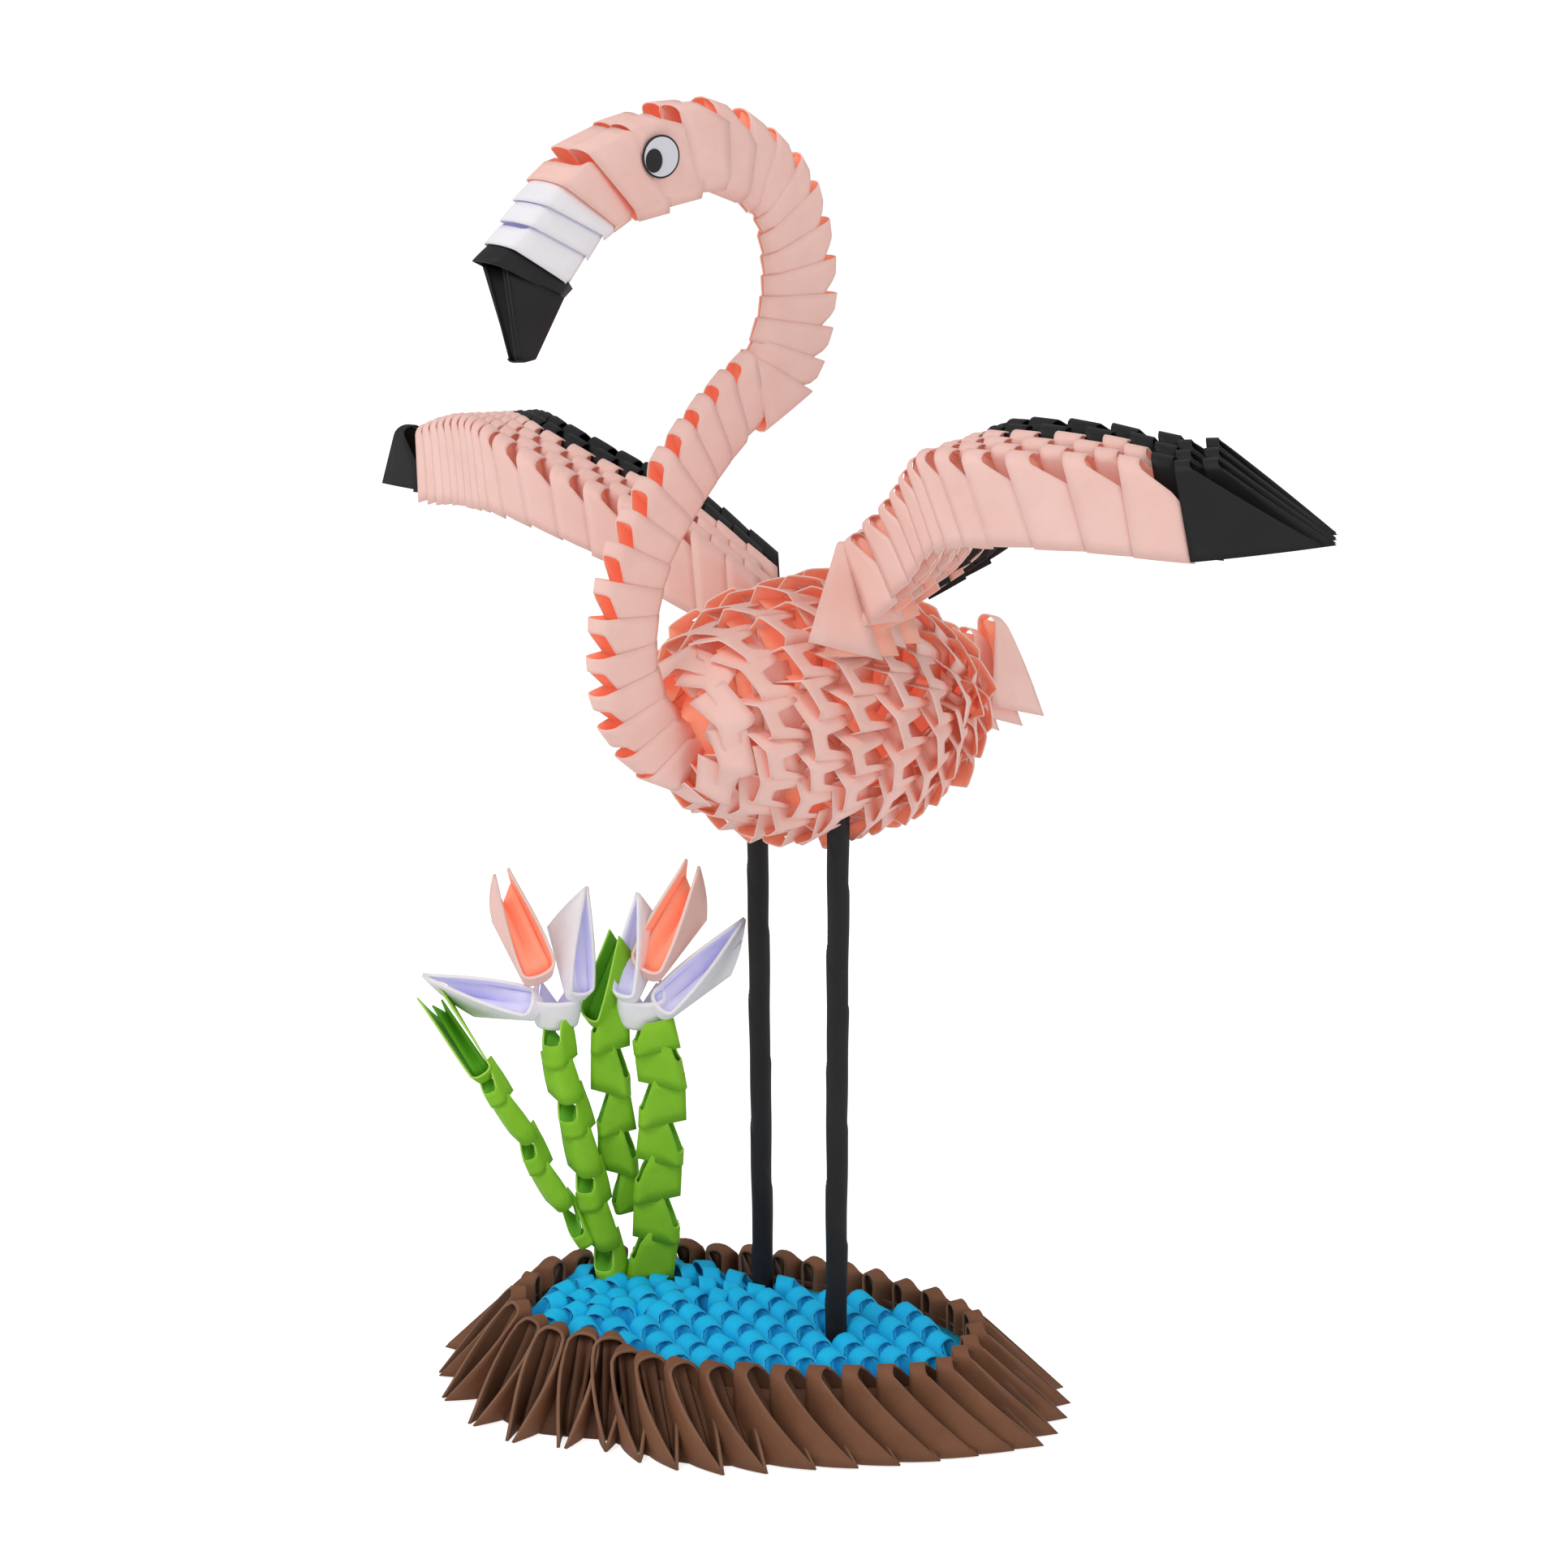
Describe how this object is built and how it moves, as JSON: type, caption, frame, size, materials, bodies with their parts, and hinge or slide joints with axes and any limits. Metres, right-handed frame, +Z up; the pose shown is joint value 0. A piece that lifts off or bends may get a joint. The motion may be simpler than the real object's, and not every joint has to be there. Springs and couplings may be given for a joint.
{
  "type": "folded paper flamingo",
  "caption": "Folded-paper flamingo with a curved neck and spread black-tipped wings, standing on two thin legs in a paper pond with a fringed rim, beside water flowers.",
  "frame": {"origin": "on the underside of the pond, midway between the two legs", "axes": "+Z up, the bird faces -Y, and its left wing points to +X"},
  "size_m": [0.2281, 0.1351, 0.2522],
  "materials": {
    "pink_paper": "matte",
    "white_paper": "matte",
    "black_paper": "matte",
    "green_paper": "matte",
    "blue_paper": "matte",
    "brown_paper": "matte"
  },
  "bodies": {
    "root": {"beak": "black_paper", "beak_band": "black_paper", "body": "pink_paper", "eye_left": "white_paper", "eye_right": "white_paper", "flower_1_pink": "pink_paper", "flower_1_white": "white_paper", "flower_2_pink": "pink_paper", "flower_2_white": "white_paper", "forehead": "pink_paper", "head_1_left": "pink_paper", "head_1_right": "pink_paper", "head_2_left": "pink_paper", "head_2_right": "pink_paper", "head_3_left": "pink_paper", "head_3_right": "pink_paper", "left_leg": "black_paper", "left_wing": "pink_paper", "left_wing_tip": "black_paper", "left_wing_trim": "black_paper", "neck_01": "pink_paper", "neck_02": "pink_paper", "neck_03": "pink_paper", "neck_04": "pink_paper", "neck_05": "pink_paper", "neck_06": "pink_paper", "neck_07": "pink_paper", "neck_08": "pink_paper", "neck_09": "pink_paper", "neck_10": "pink_paper", "neck_11": "pink_paper", "neck_12": "pink_paper", "neck_13": "pink_paper", "neck_14": "pink_paper", "neck_15": "pink_paper", "neck_16": "pink_paper", "neck_17": "pink_paper", "neck_18": "pink_paper", "neck_19": "pink_paper", "neck_20": "pink_paper", "neck_21": "pink_paper", "neck_22": "pink_paper", "neck_23": "pink_paper", "neck_24": "pink_paper", "neck_25": "pink_paper", "neck_26": "pink_paper", "pond": "blue_paper", "pond_rim": "brown_paper", "right_leg": "black_paper", "right_wing": "pink_paper", "right_wing_tip": "black_paper", "right_wing_trim": "black_paper", "stalk_1": "green_paper", "stalk_2": "green_paper", "stalk_3": "green_paper", "stalk_4": "green_paper", "tail": "pink_paper", "white_1": "white_paper", "white_2": "white_paper", "white_3": "white_paper"}
  },
  "joints": []
}
